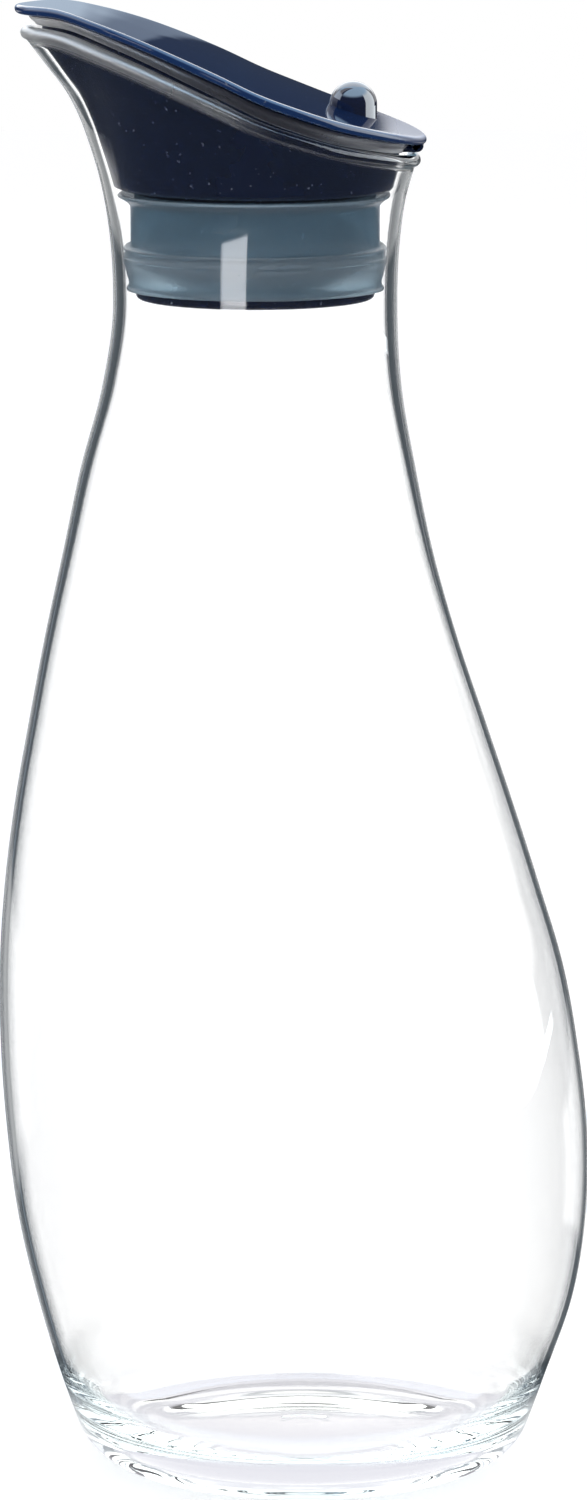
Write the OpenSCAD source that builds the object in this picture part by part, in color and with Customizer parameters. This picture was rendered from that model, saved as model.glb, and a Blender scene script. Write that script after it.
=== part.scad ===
// Carafe with a leaning glass body, a drawn-out spout, a push-in pouring stopper
// and a flip lid. Millimetres, +Z up, origin at the middle of the base.
// The spout points to -X and the lid's hinge lies on the +X side.

/* [Glass body] */
// Height of the neck's narrowest place above the table
neck_z = 232.3; // [200:0.1:260]
// Outer diameter of the neck at its narrowest place
neck_d = 55.6; // [54:0.1:60]
// Outer diameter of the belly at its widest place
belly_d = 115.9; // [100:0.1:130]
// Diameter of the ring that the carafe stands on
foot_d = 74; // [60:0.5:84]
// Height over which the heel rounds into the side
heel_h = 7; // [4:0.5:10]
// How far the foot stands to the right of the origin
foot_x = 1.8; // [0:0.1:4]
// How far the neck's axis stands to the left of the foot's
neck_lean = 9.4; // [0:0.1:14]
// Thickness of the glass wall
wall = 2; // [1.6:0.1:2.2]
// Thickness of the glass at the middle of the floor
floor_h = 7; // [5:0.5:10]
// Radius of the flat part of the inside floor
floor_r = 34; // [24:1:36]
// Depth of the hollow under the base
punt_h = 2; // [1:0.1:3]
// Width of the flat ring that touches the table
foot_ring_w = 6; // [4:0.5:10]
// Radius of the round mark in the middle of the base
gate_r = 4; // [3:0.1:6]

/* [Rim and spout] */
// Outer radius of the wall under the rim at the back
rim_back_r = 31.1; // [30.5:0.1:34]
// Outer radius of the wall under the rim at the tip of the spout
rim_spout_r = 44.4; // [38:0.1:48]
// Height of the rim's top at the back
rim_back_z = 260.9; // [255:0.1:268]
// Height of the rim's top at the tip of the spout
rim_spout_z = 286; // [272:0.1:292]
// Height of the rim's rounded bead
bead_h = 2.7; // [2:0.1:3.2]
// How far the bead stands out from the wall
bead_lip = 1.2; // [0.8:0.1:1.6]

/* [Stopper] */
// Height of the collar's lower edge above the table
collar_z = 254.4; // [252:0.1:256]
// Gap between the collar and the glass flare
collar_gap = 1; // [0.6:0.1:1.4]
// Wall thickness of the collar and its tube
collar_wall = 2; // [1.6:0.1:2.4]
// Radius of the collar's lower outer edge
collar_round = 1.2; // [0.8:0.1:1.6]
// Outer diameter of the tube that hangs in the neck
tube_d = 46.8; // [44:0.1:47.4]
// Height of the tube's lower end above the table
tube_z = 233; // [228:0.1:233.5]
// Radius of the tube's lower outer edge
tube_round = 1; // [0.4:0.1:1.4]

/* [Neck gasket] */
// Height of the upper lip's underside above the table
lip_z = 252.6; // [251:0.1:252.8]
// Thickness of the upper lip
lip_t = 1.1; // [0.8:0.1:1.4]
// Diameter of the upper lip
lip_d = 52.9; // [52:0.1:53.2]
// Thickness of the sleeve that hugs the tube
sleeve_t = 0.9; // [0.7:0.1:1.2]
// Height of the sealing bead's top above the table
ring_top_z = 243.4; // [241:0.1:246]
// Height of the sealing bead's underside above the table
ring_low_z = 236; // [235.6:0.1:238]
// Thickness of the small lip under the sealing bead
foot_lip_t = 1.1; // [0.8:0.1:1.3]
// How far that small lip stands back from the bead
foot_lip_in = 0.6; // [0.3:0.1:1]
// Gap between the sealing bead and the neck
ring_gap = 0.3; // [0.2:0.05:0.6]

/* [Lid] */
// Thickness of the lid plate
lid_t = 1.8; // [1.6:0.1:2.4]
// How far the lid reaches past the rim's bead
lid_over = 1.1; // [0.6:0.1:2]
// Height from the rim to the lid's underside at the two ends
seat_end_h = 2.3; // [2.2:0.1:3]
// Extra height of that seat in the middle
seat_mid_h = 1.1; // [0:0.1:2]
// Gap between the lid and what it closes on
lid_gap = 0.3; // [0.2:0.05:0.5]
// Gap between the rim seal and the glass
seal_gap = 0.3; // [0.2:0.05:0.5]

/* [Thumb knob] */
// Diameter of the knob
knob_d = 9.3; // [7:0.1:11]
// Height of the knob's top above the lid at its middle
knob_h = 6.4; // [5.6:0.1:9]
// Distance of the knob from the hinge axis
knob_back = 12.4; // [10:0.1:20]
// Diameter of the peg under the knob
peg_d = 3; // [2:0.1:3.2]
// Length of the peg
peg_h = 0.8; // [0.4:0.1:0.8]

/* [Hinge] */
// Diameter of the hinge barrel
barrel_d = 2.4; // [2.2:0.1:2.6]
// Diameter of the hinge pin
pin_d = 1.2; // [0.9:0.1:1.3]
// Distance of the hinge axis from the lid's back edge
hinge_inset = 1.9; // [1.6:0.1:2.2]
// How far the hinge axis lies under the lid's underside
hinge_drop = 0.4; // [0.3:0.1:0.5]
// Width of the knuckle on the lid
knuckle_w = 6; // [4:0.2:8]
// Width of each ear on the collar
ear_w = 3; // [2:0.2:4]
// Gap between the knuckle and each ear
ear_gap = 0.2; // [0.1:0.05:0.4]
// Running clearance around the pin in the knuckle
pin_play = 0.05; // [0.03:0.01:0.1]

/* [Hidden] */
$fn = 96;
// Number of points round each free-form ring
around = 60;
// Number of rings in each stretch of a skin
wall_rings = 24;
liner_rings = 17;
flare_rings = 13;
collar_rings = 9;
plate_rings = 10;
round_steps = 6;
edge_steps = 3;
// Angle under the bead's outermost line at which it leaves the wall
bead_turn = 50;
// Overrun of cuts
over = 1;
// Fit between parts of one body that touch all over
snug = 0.05;
// Fit of the pin in the ears
pin_press = 0.01;

// Body radius from table to neck, as shares from the neck's radius to the belly's
body_shares = [0.5, 0.695, 0.866, 0.966, 1, 0.987, 0.938, 0.837, 0.713,
    0.571, 0.426, 0.288, 0.171, 0.05, 0];
// Lean of the body's centre line from foot to neck, as shares of the lean
lean_shares = [0, 0, -0.04, 0.026, 0.13, 0.29, 0.46, 0.665, 0.835,
    0.975, 1.1, 1.157, 1.153, 1.07, 1];
// Flare of the head from neck to rim, as shares of the whole flare
flare_shares = [0, 0.005, 0.022, 0.055, 0.105, 0.175, 0.27, 0.38, 0.535, 0.765, 1];
// Plan of the rim from the back round to the spout, as shares of the spout's reach
spout_shares = [0, 0, 0.015, 0.07, 0.145, 0.21, 0.32, 0.56, 1];
// Fall of the rim from the spout to the back, as shares of the whole fall
rim_shares = [0, 0.02, 0.112, 0.225, 0.355, 0.493, 0.637, 0.75, 0.848, 0.925, 1];
// The hollow under the base, as pairs: share of the foot ring's radius, share of the depth
punt_shares = [[0.45, 0.98], [0.7, 0.82], [0.88, 0.4], [1, 0]];

// The neck and the stopper sink with the rim when the spout lies lower than the back
head_drop = max(0, rim_back_z - rim_spout_z);
neck_at = neck_z - head_drop;
collar_at = collar_z - head_drop;
tube_at = tube_z - head_drop;
lip_at = lip_z - head_drop;
ring_low_at = ring_low_z - head_drop;
ring_top_at = ring_top_z - head_drop;
// The neck and the head grow when the tube needs more room than the neck has
tube_r = tube_d / 2;
need_r = tube_r + snug + sleeve_t + foot_lip_in + ring_gap + wall;
neck_grow = max(0, need_r - neck_d / 2);
neck_r = neck_d / 2 + neck_grow;
back_r = rim_back_r + neck_grow;
spout_r = rim_spout_r + neck_grow;
belly_r = belly_d / 2;
foot_r = foot_d / 2;
neck_x = foot_x - neck_lean;
tube_in_r = tube_r - collar_wall;
core_in = wall + collar_gap;
bead_a = (wall + bead_lip) / 2;
bead_b = bead_h / 2;
spout_x = neck_x - spout_r - bead_lip;
back_x = neck_x + back_r + bead_lip;
hinge_x = back_x + lid_over - hinge_inset;
knob_x = hinge_x - knob_back;
hinge_half_w = knuckle_w / 2 + ear_gap + ear_w;

// Straight or flat continuation of a table past its two ends
function ghost(t, i, low_straight, high_straight) =
    let (n = len(t) - 1)
    i < 0 ? (low_straight ? 2 * t[0] - t[1] : t[1])
    : i > n ? (high_straight ? 2 * t[n] - t[n - 1] : t[n - 1])
    : t[i];

// Smooth curve through the shares of a table, at f from 0 to 1
function curve(t, f, low_straight = true, high_straight = true) =
    let (
        n = len(t) - 1,
        p = f * n,
        i = min(n - 1, max(0, floor(p))),
        e = min(1, max(0, p - i)),
        a = ghost(t, i - 1, low_straight, high_straight),
        b = t[i],
        c = t[i + 1],
        d = ghost(t, i + 2, low_straight, high_straight),
        v = b + (e * (c - a) + e * e * (2 * a - 5 * b + 4 * c - d) + e * e * e * (3 * b - a - 3 * c + d)) / 2,
        past = f < 0 ? p * (t[1] - t[0]) : f > 1 ? (p - n) * (t[n] - t[n - 1]) : 0
    )
    v + past;

// Radius and centre of the round body at a height
function heel_loss(z) =
    z >= heel_h ? 0
    : let (side_r = neck_r + (belly_r - neck_r) * body_shares[0], k = 1 - z / heel_h)
    (side_r - foot_r) * (1 - sqrt(1 - k * k));
function body_r(z) =
    neck_r + (belly_r - neck_r) * curve(body_shares, z / neck_at, true, false) - heel_loss(z);
function body_x(z) = foot_x - neck_lean * curve(lean_shares, z / neck_at, true, false);

// Outline of the wall under the rim, and heights of the rim and of the lid's underside
function turn(a) = abs(a > 180 ? a - 360 : a);
function rim_r(a) =
    back_r + (spout_r - back_r) * curve(spout_shares, turn(a) / 180, false, false);
function rim_f(x) = (x - spout_x) / (back_x - spout_x);
function rim_z(x) = rim_spout_z - (rim_spout_z - rim_back_z) * curve(rim_shares, rim_f(x));
function under_z(x) =
    rim_z(x) + seat_end_h + seat_mid_h * sin(180 * min(1, max(0, rim_f(x))));
function top_z(a) = rim_z(neck_x + rim_r(a) * cos(a));
function joint_z(a) = top_z(a) - bead_h;
function flare_r(a, z) =
    neck_r + (rim_r(a) - neck_r) * curve(flare_shares, (z - neck_at) / (joint_z(a) - neck_at), false, true);

// Narrowest radius of the head's wall round a height
function narrow_r(z) = min([for (a = angles) flare_r(a, z)]);

// A point at angle a and radius r round a centre on the X axis
function at(a, r, z, x) = [x + r * cos(a), r * sin(a), z];
angles = [for (i = [0:around - 1]) 360 * i / around];
function circle_ring(r, z, x) = [for (a = angles) at(a, r, z, x)];
function body_ring(z, inset = 0) = circle_ring(body_r(z) - inset, z, body_x(z));
// A ring of the head, a share f of the way from a low height up to the rim
function head_ring(f, low, inset = 0) =
    [for (a = angles) let (z = low + (joint_z(a) - low) * f) at(a, flare_r(a, z) - inset, z, neck_x)];
// A ring that follows the rim's plan at a height given by its own place
function bead_ring(t) =
    [for (a = angles) at(a, rim_r(a) + bead_lip - bead_a + bead_a * cos(t),
        top_z(a) - bead_b + bead_b * sin(t), neck_x)];
function lid_ring(inset, rise, share = 1) =
    [for (a = angles)
        let (p = at(a, share * (rim_r(a) + bead_lip + lid_over - inset), 0, neck_x))
        [p.x, p.y, under_z(p.x) + rise]];

// A skin through rings that run up the outside and down the inside
module skin(rings, loop = false) {
    n = around;
    m = len(rings);
    last = loop ? m - 1 : m - 2;
    points = [for (r = rings) each r];
    sides = [for (i = [0:last], j = [0:n - 1])
        let (a = i * n + j, b = i * n + (j + 1) % n, c = ((i + 1) % m) * n + j,
            d = ((i + 1) % m) * n + (j + 1) % n)
        each [[a, c, d], [a, d, b]]];
    caps = loop ? [] : [[for (j = [0:n - 1]) j], [for (j = [n - 1:-1:0]) (m - 1) * n + j]];
    polyhedron(points = points, faces = concat(sides, caps));
}

// The blown glass body in one piece: punt, foot, heel, side, flared head, bead and inside
module vessel() {
    ring_in_r = foot_r - foot_ring_w;
    punt = concat(
        [circle_ring(gate_r, punt_h, foot_x)],
        [for (p = punt_shares) circle_ring(ring_in_r * p[0], punt_h * p[1], foot_x)]
    );
    heel = [for (k = [0:round_steps]) body_ring(heel_h * (1 - cos(90 * k / round_steps)))];
    side = [for (k = [1:wall_rings]) body_ring(heel_h + (neck_at - heel_h) * k / wall_rings)];
    head = [for (k = [1:flare_rings]) head_ring(k / flare_rings, neck_at)];
    bead = concat(
        [bead_ring(-bead_turn), bead_ring(-bead_turn / 2)],
        [for (k = [0:round_steps]) bead_ring(180 * k / round_steps)]
    );
    liner = [for (k = [flare_rings:-1:1]) head_ring(k / flare_rings, neck_at, wall)];
    blend_z = floor_h + (neck_at - floor_h) / (liner_rings - 4);
    inside = [for (k = [0:liner_rings - 5]) body_ring(neck_at + (blend_z - neck_at) * k / (liner_rings - 4), wall)];
    spread = body_r(floor_h) - wall - floor_r;
    bowl = [for (k = [round_steps:-1:0])
        let (t = 90 * k / round_steps, z = floor_h + (blend_z - floor_h) * (1 - cos(t)))
        circle_ring(body_r(z) - wall - spread * (1 - sin(t)), z, body_x(z))];
    middle = [for (f = [0.6, gate_r / floor_r]) circle_ring(floor_r * f, floor_h, foot_x)];
    color([0.86, 0.9, 0.93, 0.35])
        skin(concat(punt, heel, side, head, bead, liner, inside, bowl, middle));
}

// Moulded stopper: flared collar with its pouring channel, tube and hinge ears
module stopper() {
    color([0.05, 0.09, 0.2])
        difference() {
            union() {
                collar_skin();
                tube();
                ears();
            }
            pin_hole(pin_press, 2 * hinge_half_w + over);
        }
}

module collar_skin() {
    low = collar_at + collar_round;
    shelf_z = collar_at + collar_wall;
    shelf_r = (tube_r + tube_in_r) / 2;
    edge = [for (k = [0:edge_steps])
        let (t = 90 * k / edge_steps)
        [for (a = angles)
            at(a, flare_r(a, low) - core_in - collar_round * (1 - sin(t)), low - collar_round * cos(t), neck_x)]];
    outside = [for (k = [1:collar_rings]) head_ring(k / collar_rings, low, core_in)];
    core_top = [for (inset = [core_in, core_in + collar_wall])
        [for (a = angles)
            let (p = at(a, rim_r(a) - inset, 0, neck_x))
            [p.x, p.y, under_z(p.x) - lid_gap]]];
    inside = [for (k = [collar_rings:-1:0]) head_ring(k / collar_rings, shelf_z, core_in + collar_wall)];
    shelf = [circle_ring(shelf_r, shelf_z, neck_x), circle_ring(shelf_r, collar_at, neck_x)];
    skin(concat(edge, outside, core_top, inside, shelf), loop = true);
}

module tube() {
    top = collar_at + collar_wall * 0.8;
    translate([neck_x, 0, 0])
        rotate_extrude()
            difference() {
                translate([tube_in_r, tube_at])
                    square([collar_wall, top - tube_at]);
                translate([tube_r - tube_round, tube_at])
                    difference() {
                        square([tube_round + over, tube_round]);
                        translate([0, tube_round])
                            circle(tube_round);
                    }
            }
}

// Cylinder along Y on the hinge axis
module on_axis(r, w, y = 0) {
    translate([hinge_x, y, under_z(hinge_x) - hinge_drop])
        rotate([90, 0, 0])
            cylinder(r = r, h = w, center = true);
}

module pin_hole(play, w) {
    on_axis(pin_d / 2 + play, w);
}

module ears() {
    reach = hinge_x - (neck_x + back_r - core_in - collar_wall / 2);
    for (side = [-1, 1]) {
        y = side * (knuckle_w / 2 + ear_gap + ear_w / 2);
        on_axis(barrel_d / 2, ear_w, y);
        translate([hinge_x - reach, y - ear_w / 2, under_z(hinge_x) - hinge_drop - barrel_d / 2])
            cube([reach, ear_w, barrel_d / 2]);
    }
}

// Silicone sleeve on the tube, with an upper lip, a sealing bead and a small lower lip
module neck_gasket() {
    in_r = tube_r + snug;
    ring_r = min(neck_r, narrow_r(ring_low_at), narrow_r(ring_top_at)) - wall - ring_gap;
    lip_room_r = min(narrow_r(lip_at), narrow_r(lip_at + lip_t)) - wall - ring_gap;
    ring_round = (ring_r - in_r) / 2;
    foot_lip_r = ring_r - foot_lip_in;
    color([0.55, 0.6, 0.65, 0.7])
        translate([neck_x, 0, 0])
            rotate_extrude()
                union() {
                    translate([in_r, ring_low_at - foot_lip_t])
                        square([sleeve_t, lip_at + lip_t - ring_low_at + foot_lip_t]);
                    lip(in_r, min(lip_d / 2 + neck_grow, lip_room_r), lip_at, lip_t);
                    lip(in_r, foot_lip_r, ring_low_at - foot_lip_t, foot_lip_t);
                    translate([in_r, ring_low_at])
                        square([ring_r - ring_round - in_r, ring_top_at - ring_low_at]);
                    translate([in_r, ring_low_at + ring_round])
                        square([ring_r - in_r, ring_top_at - ring_low_at - ring_round - lip_t / 2]);
                    translate([ring_r - ring_round, ring_low_at + ring_round])
                        circle(ring_round);
                    lip(in_r, ring_r, ring_top_at - lip_t, lip_t);
                }
}

// A flat lip with a full round outer edge, drawn for turning
module lip(in_r, out_r, z, t) {
    translate([in_r, z])
        square([out_r - t / 2 - in_r, t]);
    translate([out_r - t / 2, z + t / 2])
        circle(t / 2);
}

// Silicone ring round the collar's top, between the glass rim and the lid
module rim_seal() {
    in_edge = core_in - snug;
    low_edge = bead_a + seal_gap / 2;
    high_edge = low_edge / 4;
    high_round = seat_end_h / 8;
    rings = [
        seal_ring(in_edge, 0), seal_ring(low_edge, 0), seal_ring(low_edge * 0.8, 0.3),
        seal_ring(high_edge + high_round, 0.7), seal_ring(high_edge, 0.9),
        seal_ring(high_edge + high_round, 1), seal_ring(in_edge, 1)
    ];
    color([0.75, 0.75, 0.74, 0.7])
        difference() {
            skin(rings, loop = true);
            translate([hinge_x - knob_back, -hinge_half_w - lid_gap, rim_back_z - bead_h])
                cube([2 * knob_back, 2 * (hinge_half_w + lid_gap), 4 * bead_h]);
        }
}

// A ring of the seal, a share f of the way from the glass rim up to the lid
function seal_ring(inset, f) =
    [for (a = angles)
        let (p = at(a, rim_r(a) - inset, 0, neck_x), low = top_z(a) + seal_gap, high = under_z(p.x) - lid_gap)
        [p.x, p.y, low + (high - low) * f]];

// Thin curved plate with a full round edge, its knuckle, and pockets for ears and knob
module lid() {
    edge_r = lid_t / 2;
    inner = [for (k = [0:plate_rings - 1]) 0.02 + 0.98 * k / plate_rings];
    below = [for (f = inner) lid_ring(edge_r, 0, f)];
    edge = [for (k = [0:round_steps])
        let (t = 180 * k / round_steps - 90)
        lid_ring(edge_r * (1 - cos(t)), edge_r * (1 + sin(t)))];
    above = [for (k = [plate_rings - 1:-1:0]) lid_ring(edge_r, lid_t, inner[k])];
    color([0.06, 0.11, 0.26])
        difference() {
            union() {
                skin(concat(below, edge, above));
                on_axis(barrel_d / 2, knuckle_w);
            }
            pin_hole(pin_play, knuckle_w + over);
            for (side = [-1, 1])
                on_axis(barrel_d / 2 + lid_gap, ear_w + 2 * ear_gap,
                    side * (knuckle_w / 2 + ear_gap + ear_w / 2));
            translate([knob_x, 0, under_z(knob_x) + lid_t - peg_h - snug])
                cylinder(d = peg_d + 2 * snug, h = peg_h + over);
        }
}

// Dome-topped knob that stands on the lid and is pulled back with the thumb
module thumb_knob() {
    r = knob_d / 2;
    seat_z = under_z(knob_x) + lid_t;
    steps = 12;
    seat = [for (k = [0:steps]) let (x = knob_x - r - over + (knob_d + 2 * over) * k / steps)
        [x, under_z(x) + lid_t + snug]];
    color([0.06, 0.11, 0.26])
        union() {
            difference() {
                union() {
                    translate([knob_x, 0, seat_z - knob_h / 2])
                        cylinder(r = r, h = knob_h * 1.5 - r);
                    translate([knob_x, 0, seat_z + knob_h - r])
                        sphere(r);
                }
                rotate([90, 0, 0])
                    linear_extrude(height = knob_d + over, center = true)
                        polygon(concat(seat, [[knob_x + r + over, seat_z - knob_h], [knob_x - r - over, seat_z - knob_h]]));
            }
            translate([knob_x, 0, seat_z - peg_h])
                cylinder(d = peg_d, h = peg_h + knob_h / 2);
        }
}

// Steel pin through the ears and the knuckle
module hinge_pin() {
    color([0.75, 0.76, 0.78])
        on_axis(pin_d / 2, 2 * hinge_half_w);
}

vessel();
stopper();
neck_gasket();
rim_seal();
lid();
thumb_knob();
hinge_pin();
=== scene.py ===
# %% [markdown]
# # A glass carafe with a flip lid
#
# This lesson dresses a finished CAD model of a carafe: a leaning body of clear glass, a navy
# stopper in its neck, two milky silicone seals, and a thin navy lid that flips open.
# The CAD model is loaded as a fixed frame. Each piece that we make here takes the place of one
# CAD solid, and rides on the same moving body, so the stopper still lifts and the lid still
# flips. Blender works in metres, and the frame has its origin under the middle of the base,
# with the spout towards -X and the hinge towards +X.

# %% Load the frame
import math

import bpy
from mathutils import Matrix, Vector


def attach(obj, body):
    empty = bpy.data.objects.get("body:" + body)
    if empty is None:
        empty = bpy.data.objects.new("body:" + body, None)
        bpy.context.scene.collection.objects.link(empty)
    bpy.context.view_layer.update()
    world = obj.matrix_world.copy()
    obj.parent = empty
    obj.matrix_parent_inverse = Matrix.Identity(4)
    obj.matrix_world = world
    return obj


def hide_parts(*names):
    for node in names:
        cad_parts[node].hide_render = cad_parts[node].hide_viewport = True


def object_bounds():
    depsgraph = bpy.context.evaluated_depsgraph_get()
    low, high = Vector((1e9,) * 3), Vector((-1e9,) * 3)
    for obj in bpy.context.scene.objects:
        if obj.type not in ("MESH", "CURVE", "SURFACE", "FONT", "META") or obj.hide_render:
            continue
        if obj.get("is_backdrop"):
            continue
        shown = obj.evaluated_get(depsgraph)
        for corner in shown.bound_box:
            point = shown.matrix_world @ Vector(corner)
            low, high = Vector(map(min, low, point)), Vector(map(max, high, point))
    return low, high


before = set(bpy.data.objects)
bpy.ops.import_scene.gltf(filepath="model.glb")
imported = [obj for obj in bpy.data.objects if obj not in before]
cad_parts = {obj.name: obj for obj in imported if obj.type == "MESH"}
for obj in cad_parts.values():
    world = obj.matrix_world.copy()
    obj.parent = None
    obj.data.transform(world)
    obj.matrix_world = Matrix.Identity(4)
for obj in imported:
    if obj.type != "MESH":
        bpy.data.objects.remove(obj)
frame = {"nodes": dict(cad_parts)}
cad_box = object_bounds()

print("CAD solids:", ", ".join(frame["nodes"]))

# %% [markdown]
# ## Sizes
#
# The carafe was drawn in millimetres, so the sizes stand here in millimetres too, and one
# factor turns them into metres when a mesh is made. A handful of sizes drives everything:
# the neck, the belly, the foot and the two ends of the slanting rim. Everything else is a
# share of those. The frame tells us whether we have them right, because the box of the glass
# solid has to match the box of the mesh that we build.

# %% The sizes that drive the shape
MM = 0.001

neck_z, neck_r, belly_r, foot_r = 232.3, 27.8, 57.95, 37.0
heel_h, foot_x, neck_lean = 7.0, 1.8, 9.4
wall, floor_h, floor_r = 2.0, 4.4, 33.0
punt_h, foot_ring_w, gate_r = 2.0, 6.0, 4.0
rim_back_r, rim_spout_r = 31.1, 44.4
rim_back_z, rim_spout_z = 260.9, 286.0
bead_h, bead_lip = 2.7, 1.2
neck_x = foot_x - neck_lean
print(f"neck axis {neck_x:.1f} mm from the origin, belly {2 * belly_r:.1f} mm wide")

# %% [markdown]
# ## One smooth curve for every outline
#
# A blown bottle has no straight lines, and its outline is best given as a few heights with a
# width at each. We could model it with a Bezier curve, or push vertices by hand. A short
# table of shares and a Catmull-Rom curve through them is easier to read and to change: the
# curve passes through every value and is smooth in between. At its two ends the curve may run
# on straight, or turn flat, as a neck's narrowest place does. A second helper, ease, leads
# smoothly from one size to another, where a wall thins out or a plate swells.

# %% A smooth curve through a table
def ghost(table, i, low_straight, high_straight):
    """A table's value at i, carried on past either end."""
    last = len(table) - 1
    if i < 0:
        return 2 * table[0] - table[1] if low_straight else table[1]
    if i > last:
        return 2 * table[last] - table[last - 1] if high_straight else table[last - 1]
    return table[i]


def curve(table, f, low_straight=True, high_straight=True):
    """The smooth curve through the table's values, at f from 0 to 1."""
    last = len(table) - 1
    p = f * last
    i = min(last - 1, max(0, math.floor(p)))
    e = min(1.0, max(0.0, p - i))
    a = ghost(table, i - 1, low_straight, high_straight)
    b, c = table[i], table[i + 1]
    d = ghost(table, i + 2, low_straight, high_straight)
    bend = e * (c - a) + e**2 * (2 * a - 5 * b + 4 * c - d) + e**3 * (3 * b - a - 3 * c + d)
    past = p * (table[1] - table[0]) if f < 0 else 0
    if f > 1:
        past = (p - last) * (table[last] - table[last - 1])
    return b + bend / 2 + past


def ease(value, low, high):
    """0 at low, 1 at high, and a smooth rise in between."""
    f = min(1.0, max(0.0, (value - low) / (high - low)))
    return f * f * (3 - 2 * f)


print("half way between 0 and 1:", curve([0, 1], 0.5), "and", ease(0.5, 0, 1))

# %% [markdown]
# ## The outline of the glass
#
# Below the neck the glass is round at every height, but the circles don't share one axis:
# they lean to the left on their way up, which gives the bottle its swinging line. So we need
# two functions of height, a radius and a centre. The heel, where the side rounds under to the
# foot, takes a little off the radius in the lowest few millimetres.

# %% The body: a radius and a centre at each height
body_shares = [0.5, 0.695, 0.866, 0.966, 1, 0.987, 0.938, 0.837, 0.713,
               0.571, 0.426, 0.288, 0.171, 0.05, 0]
lean_shares = [0, 0, -0.04, 0.026, 0.13, 0.29, 0.46, 0.665, 0.835,
               0.975, 1.1, 1.157, 1.153, 1.07, 1]


def heel_loss(z):
    """How much the heel takes off the radius near the table."""
    if z >= heel_h:
        return 0.0
    side_r = neck_r + (belly_r - neck_r) * body_shares[0]
    return (side_r - foot_r) * (1 - math.sqrt(1 - (1 - z / heel_h) ** 2))


def body_r(z):
    return neck_r + (belly_r - neck_r) * curve(body_shares, z / neck_z, True, False) - heel_loss(z)


def body_x(z):
    return foot_x - neck_lean * curve(lean_shares, z / neck_z, True, False)


for z in (0, 50, 100, 150, 200):
    print(f"z {z:3d}: radius {body_r(z):.1f}, centre {body_x(z):.1f}")

# %% [markdown]
# Above the neck the glass opens like a trumpet that has been cut on a slant. Seen from above,
# the rim is a drop: round at the back and drawn out into the spout. The rim's height depends
# only on how far left or right a point lies, so its slanting line is one function of x. The
# lid's underside follows the same line a little higher, which is why the two fit together.

# %% The head: the rim's plan, the rim's height and the flare between neck and rim
flare_shares = [0, 0.005, 0.022, 0.055, 0.105, 0.175, 0.27, 0.38, 0.535, 0.765, 1]
spout_shares = [0, 0, 0.015, 0.07, 0.145, 0.21, 0.32, 0.56, 1]
rim_shares = [0, 0.02, 0.112, 0.225, 0.355, 0.493, 0.637, 0.75, 0.848, 0.925, 1]
seat_end_h, seat_mid_h = 2.3, 1.1
spout_x = neck_x - rim_spout_r - bead_lip
back_x = neck_x + rim_back_r + bead_lip


def rim_r(a):
    """The wall's radius under the rim, at angle a from the back."""
    turn = abs((a + math.pi) % (2 * math.pi) - math.pi) / math.pi
    return rim_back_r + (rim_spout_r - rim_back_r) * curve(spout_shares, turn, False, False)


def rim_f(x):
    return (x - spout_x) / (back_x - spout_x)


def rim_z(x):
    return rim_spout_z - (rim_spout_z - rim_back_z) * curve(rim_shares, rim_f(x))


def under_z(x):
    """The height of the lid's underside."""
    seat = seat_mid_h * math.sin(math.pi * min(1.0, max(0.0, rim_f(x))))
    return rim_z(x) + seat_end_h + seat


def top_z(a):
    return rim_z(neck_x + rim_r(a) * math.cos(a))


def joint_z(a):
    """The height at which the flare ends and the rim's bead begins."""
    return top_z(a) - bead_h


def flare_r(a, z):
    f = (z - neck_z) / (joint_z(a) - neck_z)
    return neck_r + (rim_r(a) - neck_r) * curve(flare_shares, f, False, True)


print(f"rim from x {spout_x:.1f} at z {rim_spout_z:.1f} to x {back_x:.1f} at z {rim_back_z:.1f}")

# %% [markdown]
# ## From rings to a mesh
#
# Every turned or flowing piece of this carafe is a stack of rings with the same number of
# points. A helper joins each ring to the next with four-sided faces. An open stack is closed
# at both ends with a fan round a middle point, and a looped stack joins its last ring to its
# first, as a hollow ring of rubber does. The faces are shaded smooth, so that the glass bends
# light evenly: with flat faces every facet would show as a stripe in the refraction.

# %% Rings and skins
AROUND = 192
angles = [2 * math.pi * i / AROUND for i in range(AROUND)]


def at(a, r, z, x):
    """The point at angle a and radius r round a centre at x."""
    return (x + r * math.cos(a), r * math.sin(a), z)


def circle_ring(r, z, x):
    return [at(a, r, z, x) for a in angles]


def skin(rings, loop=False):
    """Vertices and faces of a skin through the rings, outside faces outwards."""
    n, m = len(rings[0]), len(rings)
    points = [p for ring in rings for p in ring]
    faces = []
    for i in range(m if loop else m - 1):
        low, high = i * n, (i + 1) % m * n
        faces += [(low + j, low + (j + 1) % n, high + (j + 1) % n, high + j) for j in range(n)]
    if not loop:
        for start, flip in ((0, True), ((m - 1) * n, False)):
            ring = points[start:start + n]
            points.append(tuple(sum(p[k] for p in ring) / n for k in range(3)))
            middle = len(points) - 1
            for j in range(n):
                edge = (start + j, start + (j + 1) % n)
                faces.append((edge[1], edge[0], middle) if flip else (*edge, middle))
    return points, faces


print(f"every ring has {AROUND} points")
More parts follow.
